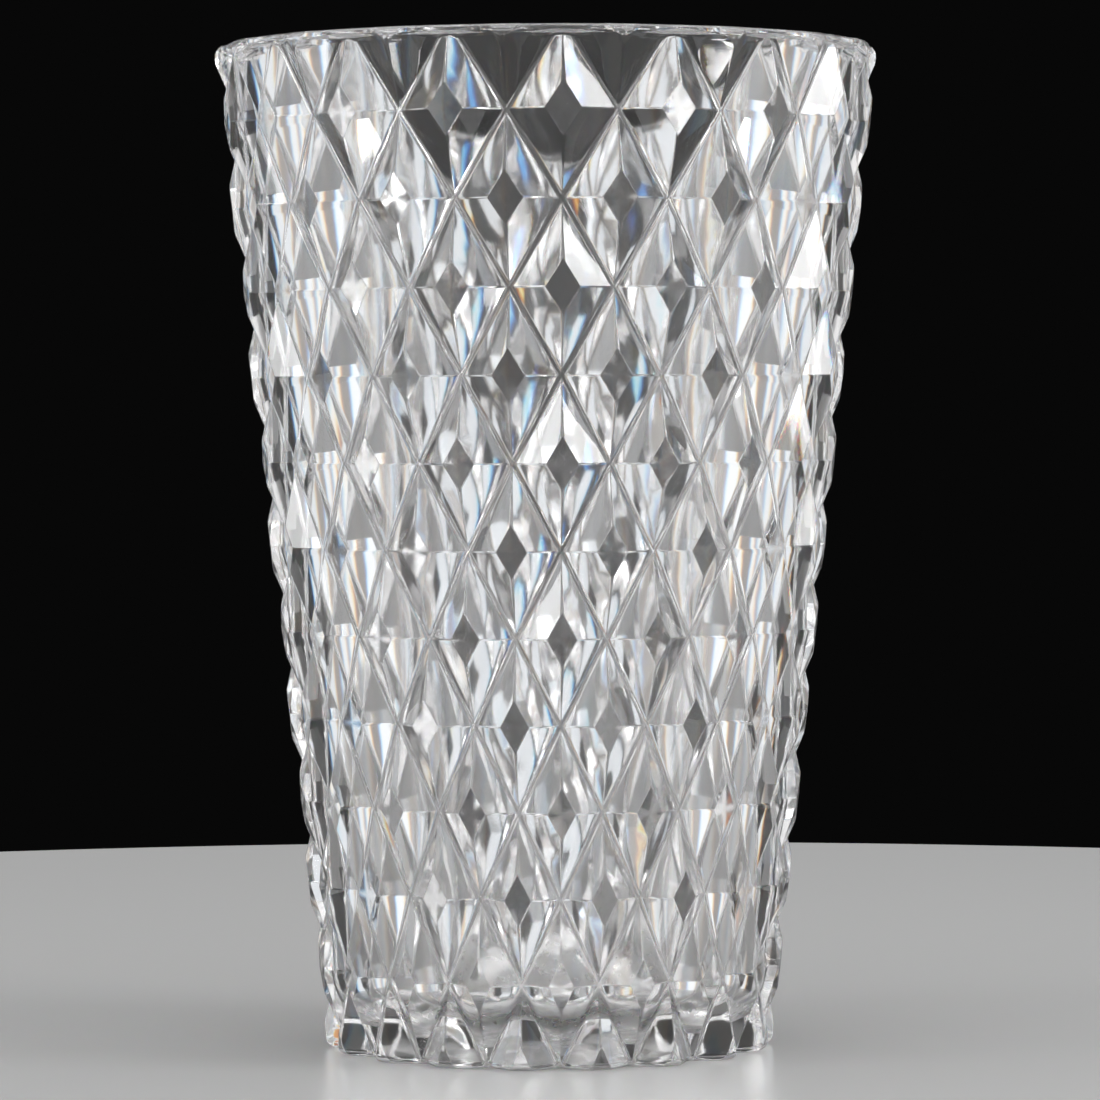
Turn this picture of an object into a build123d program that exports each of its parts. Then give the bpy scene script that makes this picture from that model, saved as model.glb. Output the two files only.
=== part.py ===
"""Cut crystal vase: one piece of clear glass, a flared tumbler shape covered with a net of tall diamonds.

Frame: millimetres, +Z up, origin at the centre of the standing ring, on the surface that the vase stands on.
A cut node lies on the -Y side, so the net is symmetric about both the XZ and the YZ plane.

The blank is a plain cone. Two families of V-grooves climb it, one to the left and one to the right, and cross at
nodes. Between them they leave diamonds: four flat facets that rise to a small window of the blank's own surface.
"""

import math
import os

from build123d import *

# Driving dimensions
HEIGHT = 250.0  # foot to lip
FOOT_RADIUS = 55.9  # over the diamonds, at the foot
MOUTH_RADIUS = 83.0  # over the diamonds, at the lip
COLUMNS = 18  # diamonds round the vase
LEVELS = 12  # node rows from foot to lip, half a diamond apart
LEVEL_HEIGHT = 20.97
NET_FOOT = -0.4  # the lowest node row; the foot and the lip are ground flat just inside the outer rows
CUT_DEPTH = 4.8  # groove bottom below the blank's surface
PEAK_HEIGHT = 2.2  # where a diamond's facets would meet, above the blank's surface
WALL = 9.0  # blank's surface to the inner wall
FLOOR = 10.0  # underside to the inside floor, at its rounded edge
FLOOR_DISH = 1.5  # the inside floor is this much lower in the middle
FLOOR_CORNER = 9.0  # radius between the inside floor and the wall
FOOT_ROUND = 2.8  # polished outer edge of the foot
LIP_EDGE = 3.2  # rounded outer edge of the lip, over the diamonds
BEAD_REACH = 80.3  # radius of the plain bead that ends the grooves just under the lip
BEAD_ROUND = 1.05
LIP_ROUND = 1.0  # polished inner edge of the lip
RECESS_RADIUS = 42.0  # hollow ground under the foot, inside the standing ring
RECESS_DEPTH = 1.2

HALF_COLUMN = math.pi / COLUMNS
FLARE = (MOUTH_RADIUS - FOOT_RADIUS) / HEIGHT
SPARE = 8.0  # how far a cutting solid runs past the glass


def row_height(level):
    """Height of a row of nodes."""
    return NET_FOOT + level * LEVEL_HEIGHT


def blank_radius(z):
    """Radius of the uncut cone at height z."""
    return FOOT_RADIUS + FLARE * z


def at(radius, step, z):
    """A point at a radius and a height; step counts half columns from the -Y side."""
    angle = -math.pi / 2 + step * HALF_COLUMN
    return Vector(radius * math.cos(angle), radius * math.sin(angle), z)


def node(level, step):
    """Where two grooves cross, at the bottom of both."""
    z = row_height(level)
    return at(blank_radius(z) - CUT_DEPTH, step, z)


def window_corner(peak, corner):
    """Where the ridge from a diamond's peak down to one of its corners passes through the blank's surface."""
    way = corner - peak
    inner = blank_radius(peak.Z)
    a = way.X**2 + way.Y**2 - (FLARE * way.Z) ** 2
    b = 2 * (peak.X * way.X + peak.Y * way.Y - inner * FLARE * way.Z)
    c = peak.X**2 + peak.Y**2 - inner**2
    return peak + way * ((-b - math.sqrt(b * b - 4 * a * c)) / (2 * a))


def flat_face(*points):
    """A flat face through these corners, in order."""
    return Face(Wire.make_polygon(points, close=True))


def diamond(level, step):
    """The faces of the diamond centred here. At the lip and at the foot only half of it is on the glass."""
    z = row_height(level)
    peak = at(blank_radius(z) + PEAK_HEIGHT, step, z)
    left, right = node(level, step - 1), node(level, step + 1)
    window_left, window_right = window_corner(peak, left), window_corner(peak, right)
    faces = []
    for way in (-1, 1):
        if not 0 <= level + way <= LEVELS:
            continue
        end = node(level + way, step)
        window_end = window_corner(peak, end)
        middle = at(blank_radius(z), step, z)
        faces.append(flat_face(left, end, window_end, window_left))
        faces.append(flat_face(right, end, window_end, window_right))
        faces.append(flat_face(window_left, window_end, middle))
        faces.append(flat_face(window_right, window_end, middle))
    return faces


def end_cap(level):
    """The flat face across the lip or the foot, which follows the diamonds cut in half there."""
    z = row_height(level)
    outline = []
    for step in range(1, 2 * COLUMNS, 2):
        peak = at(blank_radius(z) + PEAK_HEIGHT, step, z)
        left, right = node(level, step - 1), node(level, step + 1)
        outline += [left, window_corner(peak, left), at(blank_radius(z), step, z), window_corner(peak, right)]
    return flat_face(*outline)


def cut_blank():
    """The outside of the vase as a solid with no hollow: every diamond, closed by the two end caps."""
    faces = [end_cap(0), end_cap(LEVELS)]
    for level in range(LEVELS + 1):
        for column in range(COLUMNS):
            # nodes stand at even steps on even levels, so diamonds are centred on the odd ones there
            faces += diamond(level, 2 * column + (level + 1) % 2)
    return Solid(Shell(faces))


def turned(profile):
    """A closed outline in the XZ plane, turned round the vase's axis."""
    return revolve(make_face(profile), axis=Axis.Z)


def lip_crest():
    """Where the flat lip meets its rounded inner edge."""
    return Vector(blank_radius(HEIGHT - LIP_ROUND) - WALL + LIP_ROUND, 0, HEIGHT)


def edge_envelope():
    """A turned body that clears the diamonds, except where it rounds the foot and the lip."""
    clear = MOUTH_RADIUS + SPARE
    lip_outer = Vector(blank_radius(HEIGHT - LIP_EDGE), 0, HEIGHT - LIP_EDGE)
    lip_top = Vector(lip_outer.X - LIP_EDGE, 0, HEIGHT)
    foot_inner = Vector(FOOT_RADIUS - FOOT_ROUND, 0, 0)
    foot_outer = Vector(FOOT_RADIUS + FLARE * FOOT_ROUND, 0, FOOT_ROUND)
    outside = [foot_outer, Vector(clear, 0, FOOT_ROUND + SPARE), Vector(clear, 0, lip_outer.Z), lip_outer]
    inside = [lip_top, Vector(0, 0, HEIGHT), Vector(0, 0, 0), foot_inner]
    return turned(
        Curve()
        + [
            TangentArc(foot_inner, foot_outer, tangent=(1, 0, 0)),
            Polyline(outside),
            TangentArc(lip_top, lip_outer, tangent=(1, 0, 0)),
            Polyline(inside),
        ]
    )


def lip_bead():
    """A plain ring round the lip with a half-round edge."""
    middle = BEAD_REACH - BEAD_ROUND
    inner = MOUTH_RADIUS - WALL + LIP_ROUND
    low = HEIGHT - 2 * BEAD_ROUND
    edge = ThreePointArc(
        Vector(middle, 0, low), Vector(BEAD_REACH, 0, HEIGHT - BEAD_ROUND), Vector(middle, 0, HEIGHT)
    )
    back = Polyline(Vector(middle, 0, HEIGHT), Vector(inner, 0, HEIGHT), Vector(inner, 0, low), Vector(middle, 0, low))
    return turned(Curve() + [edge, back])


def hollow():
    """The inside: a dished floor, a rounded corner, the sloping wall and the rounded inner edge of the lip."""
    wall_foot = blank_radius(FLOOR + FLOOR_CORNER) - WALL
    middle = Vector(0, 0, FLOOR - FLOOR_DISH)
    floor_edge = Vector(wall_foot - FLOOR_CORNER, 0, FLOOR)
    corner_top = Vector(wall_foot, 0, FLOOR + FLOOR_CORNER)
    crest = lip_crest()
    lip_low = Vector(crest.X - LIP_ROUND, 0, HEIGHT - LIP_ROUND)
    above = Vector(crest.X, 0, HEIGHT + SPARE)
    floor = TangentArc(middle, floor_edge, tangent=(1, 0, 0))
    return turned(
        Curve()
        + [
            floor,
            TangentArc(floor_edge, corner_top, tangent=floor % 1),
            Line(corner_top, lip_low),
            TangentArc(lip_low, crest, tangent=(FLARE, 0, 1)),
            Line(crest, above),
            Line(above, Vector(0, 0, HEIGHT + SPARE)),
            Line(Vector(0, 0, HEIGHT + SPARE), middle),
        ]
    )


def recess():
    """The shallow dome ground out of the underside, which leaves the standing ring."""
    edge = Vector(RECESS_RADIUS, 0, 0)
    top = Vector(0, 0, RECESS_DEPTH)
    low_edge = Vector(RECESS_RADIUS, 0, -SPARE)
    low_middle = Vector(0, 0, -SPARE)
    dome = TangentArc(top, edge, tangent=(1, 0, 0))
    return turned(Curve() + [dome, Line(edge, low_edge), Line(low_edge, low_middle), Line(low_middle, top)])


def vase_body():
    """The whole vase, which is a single piece of glass."""
    return (cut_blank() & edge_envelope()) + lip_bead() - hollow() - recess()


os.makedirs("parts", exist_ok=True)
glass = vase_body()
export_step(glass, "parts/vase_body.step")
print("volume, litres:", round(glass.volume / 1e6, 4), "solids:", len(glass.solids()), "faces:", len(glass.faces()))
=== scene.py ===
# %% [markdown]
# # A cut crystal vase
#
# This lesson builds a tall vase of clear crystal, cut all over with a net of flat-topped diamonds. The
# vase is one piece of glass, so the whole lesson is about one shape and one material, and about the light
# that makes glass readable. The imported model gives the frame: the vase's size, its place and the body
# that it rides on.

# %% Load the frame
import math

import bmesh
import bpy
from mathutils import Matrix, Vector


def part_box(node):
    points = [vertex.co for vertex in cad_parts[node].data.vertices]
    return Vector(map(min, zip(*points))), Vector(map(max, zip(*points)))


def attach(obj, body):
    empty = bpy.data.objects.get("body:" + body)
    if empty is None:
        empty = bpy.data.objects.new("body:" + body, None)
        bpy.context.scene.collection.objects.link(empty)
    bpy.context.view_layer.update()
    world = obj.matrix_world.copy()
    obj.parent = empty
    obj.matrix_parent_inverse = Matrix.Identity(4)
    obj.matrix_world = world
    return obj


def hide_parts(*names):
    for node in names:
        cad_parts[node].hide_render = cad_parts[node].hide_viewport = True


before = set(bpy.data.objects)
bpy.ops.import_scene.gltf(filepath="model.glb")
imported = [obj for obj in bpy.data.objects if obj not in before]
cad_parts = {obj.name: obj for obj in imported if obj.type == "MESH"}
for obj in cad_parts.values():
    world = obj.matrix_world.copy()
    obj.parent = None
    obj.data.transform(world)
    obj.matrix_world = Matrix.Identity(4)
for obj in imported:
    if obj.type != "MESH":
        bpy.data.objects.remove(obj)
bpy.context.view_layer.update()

# %% [markdown]
# ## Sizes
#
# The cutter starts from a plain cone, the blank, and rules it with rows of crossings. The height comes
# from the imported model. The rest are a cutter's choices: how many diamonds go round, how deep the wheel
# goes, and how thick the blower left the wall. Everything is in metres.

# %% Sizes of the blank and of the cutting
MM = 0.001
low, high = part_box("vase_body")
HEIGHT = high[2] - low[2]
MOUTH_RADIUS = 83.0 * MM  # over the diamonds, at the lip
FOOT_RADIUS = 55.9 * MM  # over the diamonds, at the foot
FLARE = (MOUTH_RADIUS - FOOT_RADIUS) / HEIGHT
COLUMNS = 18  # diamonds round the vase
LEVELS = 12  # rows of crossings from foot to lip
ROW_HEIGHT = 20.97 * MM
LOWEST_ROW = -0.4 * MM  # the foot and the lip are ground flat just inside the outer rows
CUT_DEPTH = 4.95 * MM  # where the sides of a groove would meet, under the blank's surface
WINDOW_SHARE = 0.31  # half of the window's width, as a share of half of the diamond's
WALL = 9.0 * MM
INSIDE_DEPTH = 0.8 * WALL  # what lies deeper than this under the cone belongs to the inside
FLOOR = 10.0 * MM
WELD = 0.01 * MM  # corners closer than this are one
print("height", round(HEIGHT, 4), "flare", round(FLARE, 4))


def blank_radius(z):
    """Radius of the uncut cone at height z."""
    return FOOT_RADIUS + FLARE * z


# %% [markdown]
# ## One diamond
#
# A V-shaped wheel climbs the blank to the left and to the right. Where four cuts meet round a spot, they
# leave a low pyramid, and its peak stays uncut: a small window of the blank's own polished skin. One such
# diamond is drawn here flat, in its own units: half a width along X, half a height along Y, and one cut
# depth along Z. Wheels are never perfectly sharp and polishing softens every edge, so the groove's bottom
# is round, and each ridge has a narrow band. It could be a CAD copy, but a drawn one has even rows of
# faces, which bend smoothly round the cone.

# %% Height of the cut surface
WINDOW_EDGE = 1.0 - WINDOW_SHARE  # from a groove to the window, as a share of the way to the peak
GROOVE_ROUND = 0.080  # half width of the round groove bottom
SIDE_RIDGE = 0.014  # half width of the ridges that run to the left and right crossings
TALL_RIDGE = 0.050  # half width, at the window, of the ridges that run to the upper and lower crossings
GROOVE_END = 0.016  # both ridges' half width where they run out into a groove, so that neighbours meet


def softened(distance, band):
    """Distance from an edge, rounded off inside its band."""
    return distance if distance >= band else distance * distance / (2 * band) + band / 2


def tall_band(inward):
    """Half width of the tall ridges, which widen from the groove to the window."""
    return max(GROOVE_END, TALL_RIDGE * min(1.0, inward / WINDOW_EDGE))


def diamond_height(u, v):
    """Height of the cut surface in cut depths: -1 at a sharp groove's bottom and 0 on the window."""
    tall = tall_band(1.0 - abs(u) - abs(v))
    inward = 1.0 - softened(abs(u), tall) - softened(abs(v), SIDE_RIDGE)
    return min(0.0, softened(max(inward, 0.0), GROOVE_ROUND) / WINDOW_EDGE - 1.0)


print("a groove's round bottom lies at", round(diamond_height(0.5, 0.5), 3), "cut depths")

# %% Rings of corners
EDGE_BAND = 0.012  # half width of the band round the window
FACET_RINGS = (0.24, 0.47)  # how far in from the groove the facets have rings of their own


def diamond_rings():
    """How far in from the groove each ring of corners lies."""
    groove = (0.0, GROOVE_ROUND / 2, GROOVE_ROUND)
    return groove + FACET_RINGS + (WINDOW_EDGE - EDGE_BAND, WINDOW_EDGE + EDGE_BAND)


def quarter_steps(reach):
    """Places along a quarter of a ring, from a side ridge to a tall ridge, as (u, v)."""
    side, tall = (SIDE_RIDGE, tall_band(1.0 - reach)) if reach < 1.0 else (GROOVE_END, GROOVE_END)
    middle = ((reach + tall - side) / 2, (reach - tall + side) / 2)
    return [(reach, 0.0), (reach - side, side), middle, (tall, reach - tall), (0.0, reach)]


def diamond_ring(inward):
    """All the corners of one ring, anticlockwise."""
    quarter = quarter_steps(1.0 - inward)
    ring = []
    for turn in range(4):
        part = quarter[:-1] if turn % 2 == 0 else quarter[:0:-1]
        sign_u = 1 if turn in (0, 3) else -1
        sign_v = 1 if turn in (0, 1) else -1
        ring += [(sign_u * u, sign_v * v) for u, v in part]
    return ring


print(len(diamond_rings()), "rings of", len(diamond_ring(0.0)), "corners")


# %% Draw one diamond
def draw_diamond():
    """The flat diamond as an object: rings of quads, and a fan over the window."""
    shape = bmesh.new()
    rings = []
    for inward in diamond_rings():
        corners = diamond_ring(inward)
        rings.append([shape.verts.new((u, v, diamond_height(u, v))) for u, v in corners])
    around = len(rings[0])
    for outer, inner in zip(rings, rings[1:]):
        for i in range(around):
            j = (i + 1) % around
            shape.faces.new((outer[i], outer[j], inner[j], inner[i]))
    peak = shape.verts.new((0.0, 0.0, 0.0))
    for i in range(around):
        shape.faces.new((rings[-1][i], rings[-1][(i + 1) % around], peak))
    for face in shape.faces:
        face.smooth = True
    mesh = bpy.data.meshes.new("one_diamond")
    shape.to_mesh(mesh)
    shape.free()
    piece = bpy.data.objects.new("cut_glass", mesh)
    bpy.context.scene.collection.objects.link(piece)
    return piece


vase = draw_diamond()
print("one diamond:", len(vase.data.vertices), "corners,", len(vase.data.polygons), "faces")

# %% [markdown]
# ## The blank
#
# The blower's part of the work is a body of revolution: the hollow with its rounded corner, the flat lip
# with its softened inner edge, and the flat foot with a shallow hollow ground under it. It could be made
# with the Spin tool, but here one outline is drawn in the XZ plane and turned in a loop, which keeps every
# measure a named value. The blank's outer side stands clear of the diamonds, so that the cutting alone
# decides the outside.

# %% The blank's outline
LIP_ROUND = 1.0 * MM  # inner edge of the lip
FLOOR_CORNER = 9.0 * MM
FLOOR_DISH = 1.5 * MM
RECESS_RADIUS = 42.0 * MM
RECESS_DEPTH = 1.2 * MM
SPARE = 8.0 * MM  # how far the turned blank stands clear of the diamonds
WALL_STEPS = 24
RECESS_STEPS, LIP_STEPS, CORNER_STEPS, DISH_STEPS = 12, 5, 14, 10


def arc(start, end, leaving, steps):
    """Points of the arc that leaves start in the given direction and reaches end, without start."""
    start, chord = Vector(start), Vector(end) - Vector(start)
    bend = Vector(leaving).angle_signed(chord)
    points = []
    for i in range(1, steps + 1):
        part = bend * i / steps
        aim = math.atan2(chord.y, chord.x) + bend - part
        reach = chord.length * math.sin(part) / math.sin(bend)
        points.append(start + reach * Vector((math.cos(aim), math.sin(aim))))
    return points


def blank_outline():
    """The outline as (radius, height), from the middle of the underside round to the inside floor."""
    wall_top = (blank_radius(HEIGHT - LIP_ROUND) - WALL, HEIGHT - LIP_ROUND)
    crest = (wall_top[0] + LIP_ROUND, HEIGHT)
    wall_foot = (blank_radius(FLOOR + FLOOR_CORNER) - WALL, FLOOR + FLOOR_CORNER)
    floor_edge = (wall_foot[0] - FLOOR_CORNER, FLOOR)
    clear = MOUTH_RADIUS + SPARE
    points = [Vector((0.0, RECESS_DEPTH))]
    points += arc(points[-1], (RECESS_RADIUS, 0.0), (1, 0), RECESS_STEPS)
    points += [Vector((clear, 0.0)), Vector((clear, HEIGHT)), Vector(crest)]
    points += arc(crest, wall_top, (-1, 0), LIP_STEPS)
    points += [points[-1].lerp(Vector(wall_foot), i / WALL_STEPS) for i in range(1, WALL_STEPS + 1)]
    points += arc(wall_foot, floor_edge, (-FLARE, -1), CORNER_STEPS)
    points += arc(floor_edge, (0.0, FLOOR - FLOOR_DISH), points[-1] - points[-2], DISH_STEPS)
    return points


print("the blank's outline:", len(blank_outline()), "points")

# %% Turn the blank
TURNS = 12 * COLUMNS  # flats round the turned blank
AXIS_REACH = 0.001 * MM  # a point of the outline nearer to the axis than this lies on it


def turn_blank():
    """The outline turned round the axis into a closed solid, as an object that the net is cut into."""
    shape = bmesh.new()
    angles = [2 * math.pi * i / TURNS for i in range(TURNS)]
    rings = []
    for radius, height in blank_outline():
        if radius < AXIS_REACH:
            rings.append([shape.verts.new((0.0, 0.0, height))] * TURNS)
            continue
        spots = [(radius * math.cos(angle), radius * math.sin(angle), height) for angle in angles]
        rings.append([shape.verts.new(spot) for spot in spots])
    for lower, upper in zip(rings, rings[1:]):
        for i in range(TURNS):
            corners = [lower[i], lower[i - TURNS + 1], upper[i - TURNS + 1], upper[i]]
            shape.faces.new(sorted(set(corners), key=corners.index)).smooth = True
    mesh = bpy.data.meshes.new("turned_blank")
    shape.to_mesh(mesh)
    shape.free()
    turned = bpy.data.objects.new("turned_blank", mesh)
    bpy.context.scene.collection.objects.link(turned)
    return turned


blank = turn_blank()
print("the turned blank:", len(blank.data.vertices), "corners")

# %% [markdown]
# ## The net, by rule
#
# The diamonds follow a rule: a row at each level, half a column aside from the row below, and the whole
# sheet wrapped round the cone. An Array and a Simple Deform modifier could come near, but Geometry Nodes
# can say exactly that rule. The tree repeats the drawn diamond over a flat grid and trims the halves that
# stick out past the lip and the foot. Then it wraps the sheet, closes both ends, and keeps only the glass
# that the turned blank has too.

# %% Small helpers for node trees
MIX_SOCKETS = {"FLOAT": (2, 3, 0), "VECTOR": (4, 5, 1), "RGBA": (6, 7, 2)}  # A, B and the result


def place(tree, kind, inputs=(), **settings):
    """Adds a node. inputs pairs a socket's number or name with a value, or with an output."""
    made = tree.nodes.new(kind)
    for name, value in settings.items():
        setattr(made, name, value)
    for key, value in dict(inputs).items():
        if isinstance(value, bpy.types.NodeSocket):
            tree.links.new(value, made.inputs[key])
        else:
            made.inputs[key].default_value = value
    return made


def calc(tree, operation, first, second=0.0):
    """A Math node's output."""
    return place(tree, "ShaderNodeMath", {0: first, 1: second}, operation=operation).outputs[0]


def blend(tree, kind, share, first, second):
    """A Mix node's output: first at a share of 0 and second at 1."""
    a, b, result = MIX_SOCKETS[kind]
    mixed = place(tree, "ShaderNodeMix", {0: share, a: first, b: second}, data_type=kind)
    return mixed.outputs[result]


def parts_of(tree, vector):
    """A vector's X, Y and Z outputs."""
    return place(tree, "ShaderNodeSeparateXYZ", {0: vector}).outputs


def position(tree):
    """Where each corner is, in a Geometry Nodes tree."""
    return place(tree, "GeometryNodeInputPosition").outputs[0]


print("a Mix node mixes:", ", ".join(MIX_SOCKETS))

# %% Start the cutting tree
CONE_SIZES = ("Columns", "Row Height", "Lowest Row", "Foot Radius", "Flare", "Cut Depth")


def start_tree():
    """The cutting tree with its named inputs and its output, still empty."""
    tree = bpy.data.node_groups.new("diamond_cutting", "GeometryNodeTree")
    kinds = {"Diamond": "Geometry", "Blank": "Object", "Columns": "Int", "Levels": "Int"}
    kinds.update({name: "Float" for name in CONE_SIZES[1:]})
    kinds["Glass"] = "Material"
    for name, kind in kinds.items():
        tree.interface.new_socket(name, in_out="INPUT", socket_type="NodeSocket" + kind)
    tree.interface.new_socket("Vase", in_out="OUTPUT", socket_type="NodeSocketGeometry")
    return tree


cutting = start_tree()
given = place(cutting, "NodeGroupInput").outputs
print("the cutting tree asks for:", ", ".join(CONE_SIZES), "and the number of levels")


# %% Repeat the diamond on a flat sheet
def sheet_centres(tree, columns, levels):
    """The middles of the diamonds, flat, in rows half a column apart. Each stores its place as centre."""
    width = calc(tree, "SUBTRACT", calc(tree, "MULTIPLY", columns, 2.0), 2.0)
    grid = place(tree, "GeometryNodeMeshGrid", {
        "Size X": width, "Size Y": levels,
        "Vertices X": columns, "Vertices Y": calc(tree, "ADD", levels, 1.0)})
    spot = parts_of(tree, position(tree))
    across = calc(tree, "ADD", spot["X"], calc(tree, "MULTIPLY", width, 0.5))
    level = calc(tree, "ROUND", calc(tree, "ADD", spot["Y"], calc(tree, "MULTIPLY", levels, 0.5)))
    aside = calc(tree, "FLOORED_MODULO", calc(tree, "ADD", level, 1.0), 2.0)
    centre = place(tree, "ShaderNodeCombineXYZ", {"X": calc(tree, "ADD", across, aside), "Y": level})
    spots = place(tree, "GeometryNodeSetPosition", {
        "Geometry": grid.outputs["Mesh"], "Position": centre.outputs[0]})
    named = place(tree, "GeometryNodeStoreNamedAttribute", {
        "Geometry": spots.outputs[0], "Name": "centre", "Value": position(tree)},
        data_type="FLOAT_VECTOR", domain="POINT")
    return named.outputs[0]


def repeat_diamond(tree, diamond, columns, levels):
    """A flat sheet of diamonds, trimmed at the lip and at the foot."""
    copies = place(tree, "GeometryNodeInstanceOnPoints", {
        "Points": sheet_centres(tree, columns, levels), "Instance": diamond})
    real = place(tree, "GeometryNodeRealizeInstances", {"Geometry": copies.outputs[0]})
    level = parts_of(tree, position(tree))["Y"]
    below = calc(tree, "LESS_THAN", level, 0.0)
    above = calc(tree, "GREATER_THAN", level, levels)
    trimmed = place(tree, "GeometryNodeDeleteGeometry", {
        "Geometry": real.outputs[0], "Selection": calc(tree, "ADD", below, above)}, domain="FACE")
    return trimmed.outputs[0]


sheet = repeat_diamond(cutting, given["Diamond"], given["Columns"], given["Levels"])
print("the sheet takes", len(cutting.nodes), "nodes")


# %% A point on the cone
def cone_group():
    """A node group: the point at a column, a level and a number of cut depths outside the cone."""
    tree = bpy.data.node_groups.new("point_on_cone", "GeometryNodeTree")
    for name in CONE_SIZES + ("Column", "Level", "Depths"):
        tree.interface.new_socket(name, in_out="INPUT", socket_type="NodeSocketFloat")
    tree.interface.new_socket("Point", in_out="OUTPUT", socket_type="NodeSocketVector")
    asked = place(tree, "NodeGroupInput").outputs
    turn = calc(tree, "MULTIPLY", asked["Column"], calc(tree, "DIVIDE", math.pi, asked["Columns"]))
    angle = calc(tree, "SUBTRACT", turn, math.pi / 2)
    climb = calc(tree, "MULTIPLY", asked["Row Height"], asked["Level"])
    height = calc(tree, "ADD", asked["Lowest Row"], climb)
    cone = calc(tree, "ADD", asked["Foot Radius"], calc(tree, "MULTIPLY", asked["Flare"], height))
    radius = calc(tree, "ADD", cone, calc(tree, "MULTIPLY", asked["Cut Depth"], asked["Depths"]))
    point = place(tree, "ShaderNodeCombineXYZ", {
        "X": calc(tree, "MULTIPLY", radius, calc(tree, "COSINE", angle)),
        "Y": calc(tree, "MULTIPLY", radius, calc(tree, "SINE", angle)),
        "Z": height})
    place(tree, "NodeGroupOutput", {"Point": point.outputs[0]})
    return tree


point_on_cone = cone_group()


def on_cone(tree, column, level, depths):
    """A point on the cone in the cutting tree, where column, level and depths say."""
    wires = {name: given[name] for name in CONE_SIZES}
    wires.update({"Column": column, "Level": level, "Depths": depths})
    return place(tree, "GeometryNodeGroup", wires, node_tree=point_on_cone).outputs["Point"]


print("a point on the cone takes", len(point_on_cone.nodes), "nodes")

# %% [markdown]
# ## The wrapped facets
#
# A window lies on the cone's own skin, as it does on real glass, and a facet runs straight from the
# window's edge to the line between two crossings, because a wheel grinds straight. So the wrap doesn't
# bend the sheet round the cone. It finds two points for each corner, one on the groove's line and one on
# the window's edge, and goes straight from the one to the other. What the drawn diamond is higher than a
# sharp one, its rounded edges, is then added outwards.


# %% Wrap the sheet
def sharp_facet(tree, centre, side, upward, round_share, inward):
    """Straight lines from the groove's line, at an inward of 0, to the window's edge, at 1."""
    beside = on_cone(tree, calc(tree, "ADD", centre["X"], side), centre["Y"], -1.0)
    above = on_cone(tree, centre["X"], calc(tree, "ADD", centre["Y"], upward), -1.0)
    tip_column = calc(tree, "ADD", centre["X"], calc(tree, "MULTIPLY", side, WINDOW_SHARE))
    tip_level = calc(tree, "ADD", centre["Y"], calc(tree, "MULTIPLY", upward, WINDOW_SHARE))
    side_tip = on_cone(tree, tip_column, centre["Y"], 0.0)
    tall_tip = on_cone(tree, centre["X"], tip_level, 0.0)
    groove = blend(tree, "VECTOR", round_share, beside, above)
    window = blend(tree, "VECTOR", round_share, side_tip, tall_tip)
    return blend(tree, "VECTOR", inward, groove, window)


def push_out(tree, point, distance):
    """The point moved straight away from the axis."""
    level_out = place(tree, "ShaderNodeVectorMath", {0: point, 1: (1.0, 1.0, 0.0)}, operation="MULTIPLY")
    outward = place(tree, "ShaderNodeVectorMath", {0: level_out.outputs[0]}, operation="NORMALIZE")
    step = place(tree, "ShaderNodeVectorMath", {
        0: outward.outputs[0], "Scale": distance}, operation="SCALE")
    return place(tree, "ShaderNodeVectorMath", {0: point, 1: step.outputs[0]}, operation="ADD").outputs[0]


def weld(tree, geometry):
    """The geometry with its doubled corners merged."""
    return place(tree, "GeometryNodeMergeByDistance", {
        "Geometry": geometry, "Distance": WELD}).outputs[0]


def wrap_sheet(tree, flat):
    """Each corner of the flat sheet moved to its place on the cone."""
    spot = parts_of(tree, position(tree))
    named = place(tree, "GeometryNodeInputNamedAttribute", {"Name": "centre"}, data_type="FLOAT_VECTOR")
    centre = parts_of(tree, named.outputs[0])
    aside = calc(tree, "SUBTRACT", spot["X"], centre["X"])
    up = calc(tree, "SUBTRACT", spot["Y"], centre["Y"])
    side, upward = calc(tree, "SIGN", aside), calc(tree, "SIGN", up)
    reach = calc(tree, "ADD", calc(tree, "ABSOLUTE", aside), calc(tree, "ABSOLUTE", up))
    round_share = calc(tree, "DIVIDE", calc(tree, "ABSOLUTE", up), reach)
    inward = calc(tree, "DIVIDE", calc(tree, "SUBTRACT", 1.0, reach), WINDOW_EDGE)
    sharp = sharp_facet(tree, centre, side, upward, round_share, inward)
    drawn_higher = calc(tree, "SUBTRACT", spot["Z"], calc(tree, "SUBTRACT", inward, 1.0))
    facet = push_out(tree, sharp, calc(tree, "MULTIPLY", given["Cut Depth"], drawn_higher))
    place_at = place(tree, "GeometryNodeSwitch", {
        "Switch": calc(tree, "GREATER_THAN", inward, 1.0), "False": facet,
        "True": on_cone(tree, spot["X"], spot["Y"], spot["Z"])}, input_type="VECTOR")
    moved = place(tree, "GeometryNodeSetPosition", {
        "Geometry": flat, "Position": place_at.outputs[0]})
    return weld(tree, moved.outputs[0])


net = wrap_sheet(cutting, sheet)
print("with the wrap the tree has", len(cutting.nodes), "nodes")


# %% Close the ends and cut the blank
def close_ends(tree, wrapped):
    """Fans from the lip's and the foot's outlines to the axis, so that the net holds a volume."""
    faces = place(tree, "GeometryNodeInputMeshEdgeNeighbors").outputs[0]
    open_edge = calc(tree, "LESS_THAN", faces, 1.5)
    fan = place(tree, "GeometryNodeExtrudeMesh", {
        "Mesh": wrapped, "Selection": open_edge, "Offset Scale": 0.0}, mode="EDGES")
    axis = place(tree, "ShaderNodeCombineXYZ", {"Z": parts_of(tree, position(tree))["Z"]})
    pulled = place(tree, "GeometryNodeSetPosition", {
        "Geometry": fan.outputs["Mesh"], "Selection": fan.outputs["Top"], "Position": axis.outputs[0]})
    return weld(tree, pulled.outputs[0])


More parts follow.
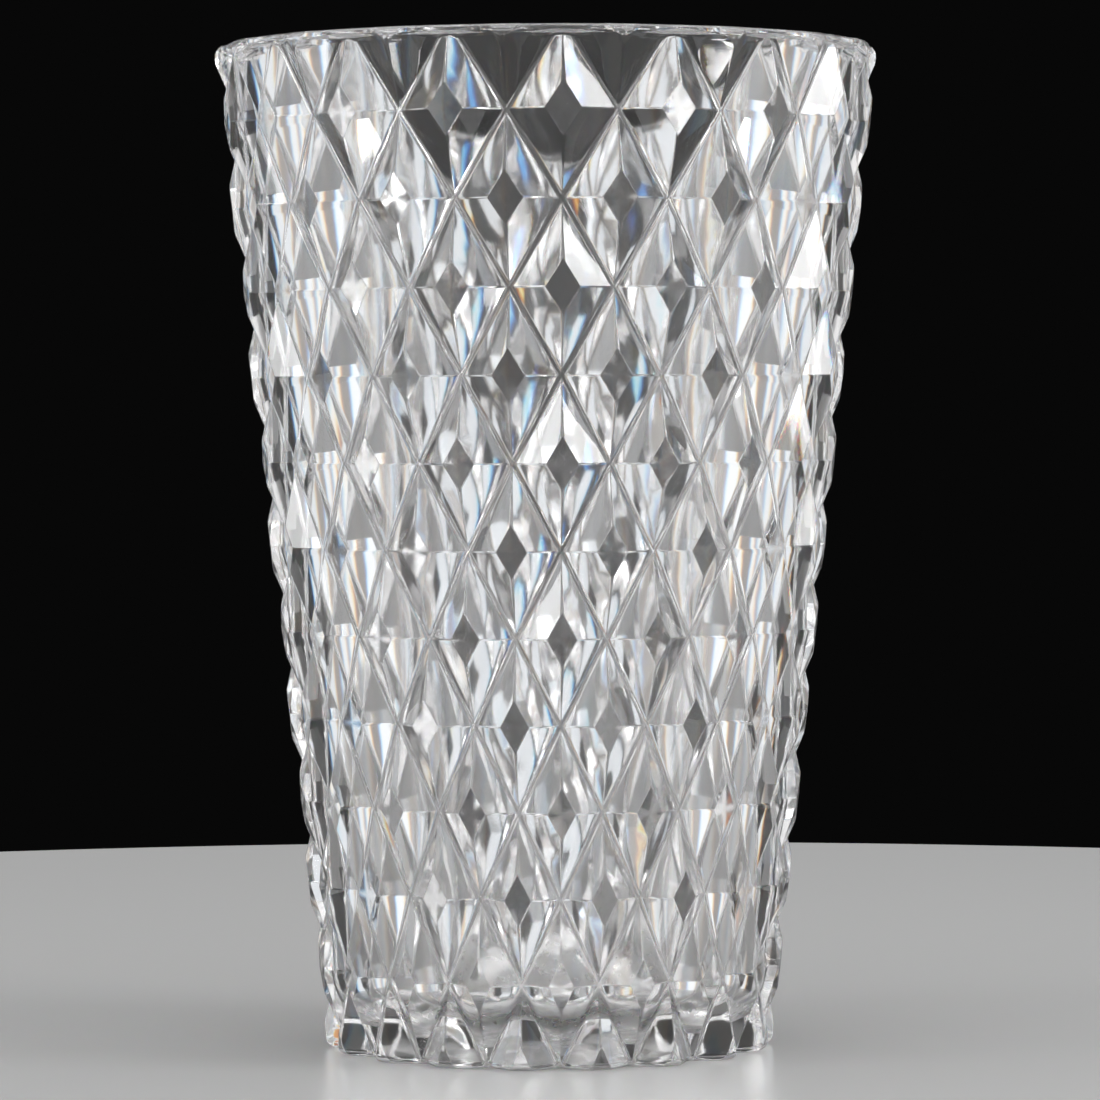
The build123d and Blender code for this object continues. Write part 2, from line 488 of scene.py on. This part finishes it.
def cut_blank(tree, closed):
    """The glass that the closed net and the turned blank share."""
    blank_mesh = place(tree, "GeometryNodeObjectInfo", {"Object": given["Blank"]}).outputs["Geometry"]
    both = place(tree, "GeometryNodeMeshBoolean", operation="INTERSECT", solver="EXACT")
    tree.links.new(closed, both.inputs["Mesh 2"])
    tree.links.new(blank_mesh, both.inputs["Mesh 2"])
    real = place(tree, "GeometryNodeRealizeInstances", {"Geometry": both.outputs["Mesh"]})
    return place(tree, "GeometryNodeSetMaterial", {
        "Geometry": real.outputs[0], "Material": given["Glass"]}).outputs[0]


place(cutting, "NodeGroupOutput", {0: cut_blank(cutting, close_ends(cutting, net))})
print("the whole tree has", len(cutting.nodes), "nodes")

# %% [markdown]
# ## Crystal
#
# Lead crystal bends light more than window glass, hence an index of about 1.54. It is neutral and bright,
# and glass keeps a plain transmission and metallic value. What changes over the surface is small. The
# fire and the felt wheel leave long shallow ripples, deeper on the inside, where no wheel reaches. The
# acid bath after the wheel leaves a trace of haze, which softens what shows through two walls. The
# standing ring is rubbed dull by every table it meets. Water leaves a thin mottled film on the inside
# floor, which turns the bottom rows pale. A texture could be painted for each of these, but they follow
# the vase's own measures, so a group of nodes works them out from the place in the glass. It puts out a
# height and a roughness, and another vase could use it with other values.

# %% Values of the polish
POLISH_VALUES = {
    "Ripple Size": 14.0 * MM, "Ripple Height": 0.03 * MM,
    "Inside Depth": INSIDE_DEPTH, "Foot Radius": FOOT_RADIUS, "Flare": FLARE,
    "Haze": 0.065, "Wear": 0.16, "Wear Height": 0.4 * MM, "Scuff Size": 1.1 * MM,
    "Film": 0.7, "Film Bottom": FLOOR / 2, "Film Top": FLOOR + 1.0 * MM, "Film Fade": 9.0 * MM,
    "Mottle Size": 3.5 * MM}
INSIDE_RIPPLE = 3.0  # how many times deeper the ripples are on the inside


def speckle(tree, at, size, detail):
    """Noise between 0 and 1 whose spots are about this size."""
    scale = calc(tree, "DIVIDE", 1.0, size)
    noise = place(tree, "ShaderNodeTexNoise", {"Vector": at, "Scale": scale, "Detail": detail})
    return noise.outputs["Fac"]


def fading(tree, height, start, end, full):
    """A value that is full up to one height and fades out at another."""
    fade = {"Value": height, "From Min": start, "From Max": end, "To Min": full, "To Max": 0.0}
    return place(tree, "ShaderNodeMapRange", fade).outputs[0]


print("the polish has", len(POLISH_VALUES), "values")


# %% The polish group
def polish_group():
    """A node group: ripples, haze, wear on the standing ring and a film on the inside floor."""
    tree = bpy.data.node_groups.new("glass_polish", "ShaderNodeTree")
    for name in POLISH_VALUES:
        tree.interface.new_socket(name, in_out="INPUT", socket_type="NodeSocketFloat")
    for name in ("Height", "Roughness"):
        tree.interface.new_socket(name, in_out="OUTPUT", socket_type="NodeSocketFloat")
    asked = place(tree, "NodeGroupInput").outputs
    at = place(tree, "ShaderNodeTexCoord").outputs["Object"]
    part = parts_of(tree, at)
    flat = place(tree, "ShaderNodeCombineXYZ", {"X": part["X"], "Y": part["Y"]}).outputs[0]
    reach = place(tree, "ShaderNodeVectorMath", {0: flat}, operation="LENGTH").outputs["Value"]
    skin = calc(tree, "ADD", asked["Foot Radius"], calc(tree, "MULTIPLY", asked["Flare"], part["Z"]))
    inside = calc(tree, "GREATER_THAN", calc(tree, "SUBTRACT", skin, reach), asked["Inside Depth"])
    deeper = calc(tree, "ADD", calc(tree, "MULTIPLY", inside, INSIDE_RIPPLE - 1.0), 1.0)
    depth = calc(tree, "MULTIPLY", asked["Ripple Height"], deeper)
    ripple = calc(tree, "MULTIPLY", depth, speckle(tree, at, asked["Ripple Size"], detail=1.0))
    wear = fading(tree, part["Z"], 0.0, asked["Wear Height"], asked["Wear"])
    scuffed = calc(tree, "MULTIPLY", wear, speckle(tree, at, asked["Scuff Size"], detail=3.0))
    film_end = calc(tree, "ADD", asked["Film Top"], asked["Film Fade"])
    wetted = calc(tree, "MULTIPLY", inside, calc(tree, "GREATER_THAN", part["Z"], asked["Film Bottom"]))
    drying = fading(tree, part["Z"], asked["Film Top"], film_end, asked["Film"])
    film = calc(tree, "MULTIPLY", wetted, drying)
    mottled = calc(tree, "MULTIPLY", film, speckle(tree, at, asked["Mottle Size"], detail=2.0))
    marked = calc(tree, "MAXIMUM", scuffed, mottled)
    dull = calc(tree, "MAXIMUM", marked, asked["Haze"])
    place(tree, "NodeGroupOutput", {"Height": ripple, "Roughness": dull})
    return tree


glass_polish = polish_group()
print("the polish group has", len(glass_polish.nodes), "nodes")

# %% The crystal
CRYSTAL = (0.992, 0.990, 0.991, 1.0)
CRYSTAL_IOR = 1.54


def crystal():
    """Clear crystal: a plain glass shader whose normal and roughness come from the polish group."""
    glass = bpy.data.materials.new("crystal")
    glass.use_nodes = True
    tree = glass.node_tree
    shader = tree.nodes["Principled BSDF"]
    shader.inputs["Base Color"].default_value = CRYSTAL
    shader.inputs["Transmission Weight"].default_value = 1.0
    shader.inputs["IOR"].default_value = CRYSTAL_IOR
    polish = place(tree, "ShaderNodeGroup", POLISH_VALUES, node_tree=glass_polish)
    bump = place(tree, "ShaderNodeBump", {
        "Height": polish.outputs["Height"], "Distance": 1.0, "Strength": 1.0})
    tree.links.new(bump.outputs[0], shader.inputs["Normal"])
    tree.links.new(polish.outputs["Roughness"], shader.inputs["Roughness"])
    return glass


clear_crystal = crystal()
print("made the crystal, with an index of", CRYSTAL_IOR)

# %% [markdown]
# ## Cutting
#
# The tree's inputs are set by each socket's identifier before the object is looked at for the first time,
# and the evaluated shape then becomes a plain mesh. The modifier could stay live, but the edges still have
# to be polished corner by corner, and that needs a mesh.


# %% Cut the vase
def set_inputs(modifier, values):
    """Sets a Geometry Nodes modifier's inputs, given by the names that the tree shows."""
    for item in modifier.node_group.interface.items_tree:
        if item.item_type == "SOCKET" and item.in_out == "INPUT" and item.name in values:
            modifier[item.identifier] = values[item.name]


def keep_result(name):
    """Turns the vase with its modifiers into a plain mesh."""
    seen = bpy.context.evaluated_depsgraph_get()
    mesh = bpy.data.meshes.new_from_object(vase.evaluated_get(seen))
    vase.modifiers.clear()
    vase.data = mesh
    mesh.name = name


def cut_vase(glass):
    """Runs the tree on the drawn diamond and leaves a plain closed mesh."""
    modifier = vase.modifiers.new("cutting", "NODES")
    modifier.node_group = cutting
    set_inputs(modifier, {
        "Blank": blank, "Columns": COLUMNS, "Levels": LEVELS, "Row Height": ROW_HEIGHT,
        "Lowest Row": LOWEST_ROW, "Foot Radius": FOOT_RADIUS, "Flare": FLARE,
        "Cut Depth": CUT_DEPTH, "Glass": glass})
    keep_result("cut_glass")
    bpy.data.objects.remove(blank)


cut_vase(clear_crystal)
print("cut:", len(vase.data.vertices), "corners,", len(vase.data.polygons), "faces")

# %% [markdown]
# ## Polishing the edges
#
# The lip and the foot leave the wheel with sharp outer edges, and a vase gets them fire-polished. A Bevel
# would fold over itself where the grooves run out, so the mesh is cut into rings near both ends, and each
# ring is drawn in as far as a quarter round says. Just under the lip a plain bead goes right round: the
# grooves end on it. Weighted normals let the narrow bands shade as rounds while the facets stay flat.

# %% The rounded edges and the bead
LIP_EDGE = 3.2 * MM  # outer edge of the lip, over the diamonds
FOOT_EDGE = 2.0 * MM
EDGE_STEPS = 5
BEAD_REACH = 80.3 * MM  # radius of the plain bead that ends the grooves just under the lip
BEAD_ROUND = 1.05 * MM
BEAD_STEPS = 6
BEAD_END = 1.001  # in bead radii from its middle, a hair past its edge, where the lowest ring lies


def bead_radius(z):
    """Radius of the plain bead round the lip at height z, or 0 below it."""
    off = abs(z - (HEIGHT - BEAD_ROUND)) / BEAD_ROUND
    if off > BEAD_END:
        return 0.0
    return BEAD_REACH - BEAD_ROUND * (1.0 - math.sqrt(max(0.0, 1.0 - off * off)))


def edge_heights(end, inward, radius):
    """Heights of the rings that a rounded edge needs."""
    turns = [math.pi / 2 * i / EDGE_STEPS for i in range(EDGE_STEPS)]
    return [end + inward * radius * (1.0 - math.sin(turn)) for turn in turns]


def bead_heights():
    """Heights of the rings that the bead needs, from its underside up to the lip."""
    return [HEIGHT - BEAD_ROUND * (1.0 + math.cos(math.pi * i / BEAD_STEPS)) for i in range(BEAD_STEPS)]


RING_HEIGHTS = edge_heights(HEIGHT, -1, LIP_EDGE) + bead_heights() + edge_heights(0.0, 1, FOOT_EDGE)
print("rings in millimetres:", [round(height / MM, 2) for height in RING_HEIGHTS])

# %% Polish the edges
FACE_WEIGHT = 80  # 50 counts all the faces at a corner alike, and more lets the large ones decide


def add_rings(shape, heights):
    """New corners all round the vase at these heights."""
    for height in heights:
        everything = shape.verts[:] + shape.edges[:] + shape.faces[:]
        bmesh.ops.bisect_plane(
            shape, geom=everything, dist=WELD, plane_co=(0, 0, height), plane_no=(0, 0, 1))


def round_outline(shape, end, radius):
    """Draws the corners near a flat end in towards the axis, as far as a quarter round says."""
    for corner in shape.verts:
        past = radius - abs(corner.co.z - end)
        reach = corner.co.xy.length
        if past <= 0.0 or reach < blank_radius(corner.co.z) - INSIDE_DEPTH:
            continue
        drawn_in = radius - math.sqrt(max(0.0, radius * radius - past * past))
        corner.co.xy *= max(reach - drawn_in, bead_radius(corner.co.z)) / reach


def polish_edges():
    """Fire-polishes the outer edges of the lip and of the foot, and lets small faces shade as rounds."""
    shape = bmesh.new()
    shape.from_mesh(vase.data)
    add_rings(shape, RING_HEIGHTS)
    round_outline(shape, HEIGHT, LIP_EDGE)
    round_outline(shape, 0.0, FOOT_EDGE)
    bmesh.ops.remove_doubles(shape, verts=shape.verts, dist=WELD)
    shape.to_mesh(vase.data)
    shape.free()
    rounds = vase.modifiers.new("rounds", "WEIGHTED_NORMAL")
    rounds.mode = "FACE_AREA"
    rounds.weight = FACE_WEIGHT
    keep_result("cut_glass")


polish_edges()
print("cut vase:", len(vase.data.vertices), "corners,", len(vase.data.polygons), "faces")

# %% [markdown]
# ## On the frame
#
# A real vase is one piece of glass, so there is one piece to hang. It rides on the only body, and it
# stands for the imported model's plain solid, which it hides.

# %% Hang the vase on the frame
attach(vase, "root")
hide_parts("vase_body")
print("the vase rides on root and stands in for vase_body")

# %% [markdown]
# ## The floor
#
# The vase stands on a plain pale table top, smooth enough to mirror its foot softly. The floor lies a hair
# below the foot, because two faces in the same place would flicker. The glass would show so much of a pale
# floor that its lower cuts go flat, so light rays other than the camera's own meet a darker shade. It is
# staging and isn't part of the object.

# %% Lay the floor
FLOOR_RADIUS = 0.6
FLOOR_SIDES = 128
FLOOR_GAP = 0.1 * MM
FLOOR_SHADE = (0.66, 0.66, 0.66, 1.0)
FLOOR_IN_GLASS = (0.26, 0.26, 0.26, 1.0)
FLOOR_ROUGHNESS = 0.25


def floor_paint():
    """Plain paint, pale to the camera and darker to all other rays."""
    paint = bpy.data.materials.new("studio_floor")
    paint.use_nodes = True
    tree = paint.node_tree
    seen = place(tree, "ShaderNodeLightPath").outputs["Is Camera Ray"]
    shade = blend(tree, "RGBA", seen, FLOOR_IN_GLASS, FLOOR_SHADE)
    tree.links.new(shade, tree.nodes["Principled BSDF"].inputs["Base Color"])
    tree.nodes["Principled BSDF"].inputs["Roughness"].default_value = FLOOR_ROUGHNESS
    return paint


def studio_floor():
    """A round table top."""
    shape = bmesh.new()
    bmesh.ops.create_circle(shape, cap_ends=True, segments=FLOOR_SIDES, radius=FLOOR_RADIUS)
    mesh = bpy.data.meshes.new("studio_floor")
    shape.to_mesh(mesh)
    shape.free()
    mesh.materials.append(floor_paint())
    floor = bpy.data.objects.new("studio_floor", mesh)
    floor.location.z = low[2] - FLOOR_GAP
    bpy.context.scene.collection.objects.link(floor)
    return floor


print("laid", studio_floor().name, "with radius", FLOOR_RADIUS)

# %% [markdown]
# ## Light for glass
#
# Glass has hardly a look of its own: it shows the room, bent and cut into pieces. So the room is the
# light. It is dark behind the vase, which draws the windows and the outline, and pale at the sides, in
# upright strips like the soft boxes and gaps of a small studio. Each facet picks up another strip, which
# gives the upright streaks of cut crystal. Real glass also bends blue a little more than red. Here the
# room does it instead: its red and its blue are turned a little to either side, so that every bright edge
# that the glass shows has a faint warm and a faint cold border. The strips are also a little warmer or
# colder than one another, as where daylight and lamps mix.

# %% Strips of light
# the room's strips, the same on both sides: from how many degrees round from the camera, how much light,
# and how warm it is, as a share more red and less blue
ROOM_STRIPS = (
    (0, 0.18, 0.00), (19, 0.37, 0.04), (31, 0.21, -0.05), (40, 0.76, 0.00), (56, 0.29, 0.05),
    (66, 0.57, -0.04), (77, 0.25, 0.05), (86, 0.53, -0.03), (97, 0.17, 0.06), (107, 0.49, 0.03),
    (112, 0.27, -0.07), (116, 0.47, -0.02), (123, 0.19, 0.06), (131, 0.43, -0.04), (144, 0.012, 0.00))
STRIP_EDGE = 1.2  # degrees over which one strip fades into the next
RED, GREEN, BLUE = 1, 0, -1  # how far a colour goes with warm light


def strip_levels(warm):
    """The strips as (degrees, light) for one colour, with both ends of each fade."""
    lights = [light * (1.0 + warm * warmth) for _, light, warmth in ROOM_STRIPS]
    levels = [(0.0, lights[0])]
    for (angle, _, _), before, after in zip(ROOM_STRIPS[1:], lights, lights[1:]):
        levels += [(angle - STRIP_EDGE / 2, before), (angle + STRIP_EDGE / 2, after)]
    return levels


print(len(ROOM_STRIPS), "strips, with", len(strip_levels(GREEN)), "stops for each colour")

# %% The room
TOP_LIGHT = 0.44
TOP_START, TOP_FULL = 0.35, 0.80  # upward part of a direction where the top light starts and is full
ROOM_STRENGTH = 2.0
UNSEEN = (0.0012, 0.0012, 0.0012, 1.0)  # what the camera itself sees past the vase
FRINGE_TURN = math.radians(0.7)


def room_ramp(tree, along, warm):
    """A colour ramp with the strips, from in front of the vase at 0 to behind it at 1."""
    ramp = place(tree, "ShaderNodeValToRGB", {"Fac": along})
    ramp.color_ramp.interpolation = "EASE"
    levels = strip_levels(warm)
    stops = ramp.color_ramp.elements
    while len(stops) < len(levels):
        stops.new(1.0)
    for stop, (angle, light) in zip(stops, levels):
        stop.position = angle / 180.0
        stop.color = (light, light, light, 1.0)
    return ramp.outputs["Color"]


def room_channel(tree, direction, warm):
    """One colour of the room's light, turned a little about the vase."""
    turned = place(tree, "ShaderNodeVectorRotate", {
        "Vector": direction, "Angle": -warm * FRINGE_TURN}, rotation_type="Z_AXIS")
    part = parts_of(tree, turned.outputs[0])
    forward = calc(tree, "MULTIPLY", part["Y"], -1.0)
    aside = calc(tree, "ARCTAN2", calc(tree, "ABSOLUTE", part["X"]), forward)
    upward = place(tree, "ShaderNodeMapRange", {
        "Value": part["Z"], "From Min": TOP_START, "From Max": TOP_FULL}, interpolation_type="SMOOTHSTEP")
    ramp = room_ramp(tree, calc(tree, "DIVIDE", aside, math.pi), warm)
    return blend(tree, "FLOAT", upward.outputs[0], ramp, TOP_LIGHT)


def studio_world():
    """The room. The camera itself sees it dark all round."""
    world = bpy.data.worlds.new("studio")
    bpy.context.scene.world = world
    world.use_nodes = True
    tree = world.node_tree
    direction = place(tree, "ShaderNodeTexCoord").outputs["Generated"]
    colours = {i: room_channel(tree, direction, warm) for i, warm in enumerate((RED, GREEN, BLUE))}
    room = place(tree, "ShaderNodeCombineColor", colours)
    seen = place(tree, "ShaderNodeLightPath").outputs["Is Camera Ray"]
    shade = blend(tree, "RGBA", seen, room.outputs[0], UNSEEN)
    tree.links.new(shade, tree.nodes["Background"].inputs["Color"])
    tree.nodes["Background"].inputs["Strength"].default_value = ROOM_STRENGTH
    return world


print("room:", studio_world().name, "with", len(ROOM_STRIPS), "strips of light")

# %% [markdown]
# ## Soft boxes
#
# A few soft boxes stand nearer and are brighter than the room. They give the white facets and the sparks.
# Each one is three lamps in red, green and blue, a few millimetres aside of one another, for the same
# coloured borders as above.

# %% Place the soft boxes
FRINGE_COLOURS = ((1.0, 0.0, 0.0), (0.0, 1.0, 0.0), (0.0, 0.0, 1.0))
LAMP_STEP = 2.0 * MM  # between the three lamps of a box, along its axis
# name, degrees round from the camera, degrees up, distance, width, height, radiance, sideways fringe
SOFT_BOXES = (
    ("key_box", 69, 22, 1.5, 0.58, 0.32, 12.5, 0.006),
    ("fill_box", -70.5, 19, 1.5, 0.52, 0.22, 9.0, 0.006),
    ("top_box", 0, 68, 1.3, 1.40, 1.20, 0.5, 0.0))


def soft_box(name, azimuth, elevation, distance, width, tall, radiance, fringe):
    """A large soft light that faces the vase."""
    aim = Vector((0.0, 0.0, HEIGHT / 2))
    turn, climb = math.radians(azimuth), math.radians(elevation)
    away = Vector((math.sin(turn) * math.cos(climb), -math.cos(turn) * math.cos(climb), math.sin(climb)))
    side = Vector((math.cos(turn), math.sin(turn), 0.0))
    for i, colour in enumerate(FRINGE_COLOURS):
        light = bpy.data.lights.new(f"{name}_{i}", "AREA")
        light.shape = "RECTANGLE"
        light.size, light.size_y = width, tall
        light.color = colour
        light.energy = radiance * width * tall * math.pi
        lamp = bpy.data.objects.new(light.name, light)
        lamp.location = aim + away * (distance + LAMP_STEP * i) + side * fringe * (i - 1)
        lamp.rotation_euler = away.to_track_quat("Z", "Y").to_euler()
        lamp.visible_camera = False
        bpy.context.scene.collection.objects.link(lamp)


for box in SOFT_BOXES:
    soft_box(*box)
    print("placed", box[0])

# %% [markdown]
# ## The camera
#
# The camera stands a little above the vase's middle and has a long lens, so that the lip is seen slightly
# from below and the foot slightly from above, and neither end looks stretched. A near camera with a short
# lens would flare the mouth. Light passes many walls of glass on its way, so the number of bounces is
# raised, or deep facets would turn black.

# %% Place the camera
SENSOR = 36.0
LENS = 169.8
CAMERA_AZIMUTH = math.radians(-2.83)
CAMERA_DISTANCE = 1.300
CAMERA_HEIGHT = 0.1608
CAMERA_PITCH = math.radians(1.62)  # downwards
CAMERA_YAW = math.radians(-0.023)
CAMERA_ROLL = math.radians(-0.2)


def place_camera():
    """The camera on its stand, turned to the vase."""
    camera = bpy.data.cameras.new("camera")
    camera.lens = LENS
    camera.sensor_width = SENSOR
    viewer = bpy.data.objects.new("camera", camera)
    bpy.context.scene.collection.objects.link(viewer)
    around = Matrix.Rotation(CAMERA_AZIMUTH, 3, "Z")
    viewer.location = around @ Vector((0.0, -CAMERA_DISTANCE, CAMERA_HEIGHT))
    facing = Matrix.Rotation(CAMERA_AZIMUTH + CAMERA_YAW, 3, "Z")
    tilted = facing @ Matrix.Rotation(math.pi / 2 - CAMERA_PITCH, 3, "X")
    viewer.rotation_euler = (tilted @ Matrix.Rotation(CAMERA_ROLL, 3, "Z")).to_euler()
    bpy.context.scene.camera = viewer
    return viewer


print("camera at", [round(value, 3) for value in place_camera().location])

# %% Bounces and tone
GLASS_BOUNCES = 32
MIRROR_BOUNCES = 16
cycles = bpy.context.scene.cycles
cycles.max_bounces = GLASS_BOUNCES
cycles.transmission_bounces = GLASS_BOUNCES
cycles.glossy_bounces = MIRROR_BOUNCES
bpy.context.scene.view_settings.view_transform = "Standard"
print("light may pass", GLASS_BOUNCES, "surfaces of glass")
